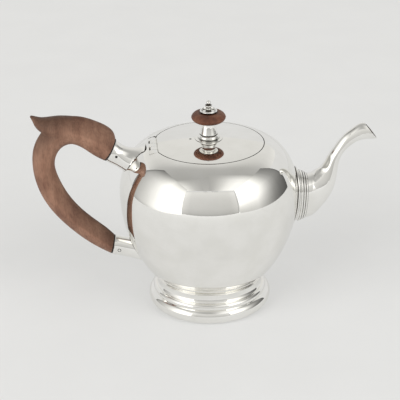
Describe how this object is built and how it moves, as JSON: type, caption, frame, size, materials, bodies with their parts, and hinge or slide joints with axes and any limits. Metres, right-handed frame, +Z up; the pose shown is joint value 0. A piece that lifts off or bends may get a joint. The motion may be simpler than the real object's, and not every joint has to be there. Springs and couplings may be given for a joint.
{
  "type": "teapot",
  "caption": "Round-bodied polished silver teapot on a moulded foot, with a flush hinged lid, a turned finial, a swan-neck spout and a carved fruitwood handle.",
  "frame": {"origin": "centre of the foot on the table", "axes": "+Z up along the pot's axis, +X towards the spout, handle on the -X side, symmetric about the XZ plane"},
  "size_m": [0.2254, 0.118, 0.1433],
  "materials": {
    "silver": "polished",
    "fruitwood": "waxed"
  },
  "bodies": {
    "pot": {"body": "silver", "foot_ring": "silver", "lid_seat": "silver", "hinge_trough": "silver", "body_knuckles": "silver", "hinge_pin": "silver", "upper_socket": "silver", "lower_socket": "silver", "upper_handle_pin": "silver", "lower_handle_pin": "silver", "handle": "fruitwood", "spout": "silver", "spout_collar": "silver"},
    "lid": {"lid": "silver", "lid_bezel": "silver", "lid_knuckles": "silver", "finial_stem": "silver", "finial_disc": "fruitwood", "finial_plate": "silver", "finial_button": "silver", "finial_rod": "silver", "finial_washer": "silver", "finial_nut": "silver"}
  },
  "joints": [
    {"name": "lid_hinge", "type": "hinge", "parent": "pot", "child": "lid", "pos_m": [-0.03642, 0, 0.11157], "axis": [0, -1, 0], "range_deg": [0, 95]}
  ]
}
